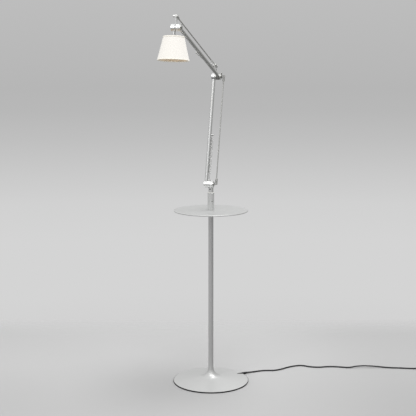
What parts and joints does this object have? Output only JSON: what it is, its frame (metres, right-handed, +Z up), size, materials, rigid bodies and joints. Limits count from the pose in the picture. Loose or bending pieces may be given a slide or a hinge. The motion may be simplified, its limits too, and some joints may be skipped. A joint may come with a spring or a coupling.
{
  "type": "floor lamp with table",
  "caption": "Floor lamp with a round foot, a round table on its pole and a spring-balanced two-part arm that carries a small cone shade.",
  "frame": {"origin": "centre of the foot's underside, on the pole's axis", "axes": "+Z up along the pole, +X the way the arm reaches at rest, arm pivots along Y"},
  "size_m": [0.9127, 1.26, 1.5793],
  "materials": {
    "satin_aluminium": "satin",
    "arm_aluminium": "satin",
    "rod_metal": "satin",
    "steel": "brushed",
    "spring_steel": "bright",
    "cast_weight": "rough",
    "felt": "felt",
    "black_rubber": "matt",
    "cord_black": "matt",
    "white_plastic": "matt",
    "black_plastic": "matt",
    "bulb_opal": "opal",
    "white_metal": "painted",
    "shade_fabric": "woven, laminated",
    "brass": "polished"
  },
  "bodies": {
    "base": {"base_shell": "satin_aluminium", "ballast": "cast_weight", "base_felt": "felt", "pole_nut": "steel", "cord_grommet": "black_rubber", "pole": "satin_aluminium", "base_lead": "cord_black", "table_top": "satin_aluminium", "table_collar": "satin_aluminium", "collar_screw": "steel", "socket_sleeve": "satin_aluminium", "sleeve_screw": "steel", "swivel_bush": "white_plastic", "cord_run": "cord_black", "switch_bottom": "black_plastic", "switch_top": "black_plastic", "cord_lead": "cord_black", "cord_coil": "cord_black", "cord_tail": "cord_black", "plug_body": "black_plastic", "plug_pins": "brass"},
    "swivel": {"swivel_body": "arm_aluminium", "neck_screw": "steel", "neck_lead": "cord_black", "hub_axle": "steel", "hub_washer": "white_plastic", "hub_lug": "arm_aluminium"},
    "lower_arm": {"lower_arm_foot": "arm_aluminium", "lower_arm_tube": "arm_aluminium", "lower_arm_top": "arm_aluminium", "lower_spring_pin": "steel", "lower_arm_lead": "cord_black", "lower_spring": "spring_steel"},
    "lower_tie": {"lower_tie_rod": "rod_metal", "lower_tie_pins": "steel"},
    "elbow": {"elbow_axle": "steel", "elbow_nut": "steel", "elbow_knob": "arm_aluminium", "elbow_washer": "white_plastic", "elbow_lever": "arm_aluminium", "elbow_lug": "arm_aluminium"},
    "upper_arm": {"upper_arm_foot": "arm_aluminium", "upper_arm_tube": "arm_aluminium", "upper_arm_tip": "arm_aluminium", "upper_spring_pin": "steel", "upper_arm_lead": "cord_black", "upper_spring": "spring_steel"},
    "upper_tie": {"upper_tie_rod": "rod_metal", "upper_tie_pins": "steel"},
    "head_mount": {"head_axle": "steel", "head_lever": "arm_aluminium"},
    "head": {"head_barrel": "arm_aluminium", "head_stem": "arm_aluminium", "lampholder": "white_plastic", "bulb": "bulb_opal", "shade_spider": "white_metal", "shade_hoop": "white_metal", "shade": "shade_fabric"},
    "rocker": {"switch_rocker": "black_plastic"}
  },
  "joints": [
    {"name": "swivel_turn", "type": "hinge", "parent": "base", "child": "swivel", "pos_m": [0, 0, 0.845], "axis": [0, 0, 1], "range_deg": [-170, 170]},
    {"name": "lower_arm_hinge", "type": "hinge", "parent": "swivel", "child": "lower_arm", "pos_m": [0, -0.0215, 0.881], "axis": [0, 1, 0], "range_deg": [-28, 47], "deforming": ["lower_spring"]},
    {"name": "lower_tie_hinge", "type": "hinge", "parent": "swivel", "child": "lower_tie", "pos_m": [-0.04, 0.01, 0.881], "axis": [0, 1, 0], "range_deg": [-28, 47]},
    {"name": "elbow_hinge", "type": "hinge", "parent": "lower_arm", "child": "elbow", "pos_m": [-0.09772, -0.0215, 1.34073], "axis": [0, 1, 0], "range_deg": [-47, 28]},
    {"name": "upper_arm_hinge", "type": "hinge", "parent": "elbow", "child": "upper_arm", "pos_m": [-0.09772, 0, 1.34073], "axis": [0, -1, 0], "range_deg": [-60, 8], "deforming": ["upper_spring"]},
    {"name": "upper_tie_hinge", "type": "hinge", "parent": "elbow", "child": "upper_tie", "pos_m": [-0.09772, -0.0115, 1.38473], "axis": [0, -1, 0], "range_deg": [-60, 8]},
    {"name": "head_mount_hinge", "type": "hinge", "parent": "upper_arm", "child": "head_mount", "pos_m": [0.35498, 0, 1.52824], "axis": [0, -1, 0], "range_deg": [-8, 60]},
    {"name": "head_tilt", "type": "hinge", "parent": "head_mount", "child": "head", "pos_m": [0.35498, -0.0215, 1.52824], "axis": [0, -1, 0], "range_deg": [-8, 75]},
    {"name": "rocker_tip", "type": "hinge", "parent": "base", "child": "rocker", "pos_m": [-0.47, 0.897, 0.013], "axis": [1, 0, 0], "range_deg": [-6, 6]}
  ],
  "couplings": [
    {"joint": "lower_tie_hinge", "follows": "lower_arm_hinge", "ratio": 1},
    {"joint": "elbow_hinge", "follows": "lower_arm_hinge", "ratio": -1},
    {"joint": "upper_tie_hinge", "follows": "upper_arm_hinge", "ratio": 1},
    {"joint": "head_mount_hinge", "follows": "upper_arm_hinge", "ratio": -1}
  ]
}
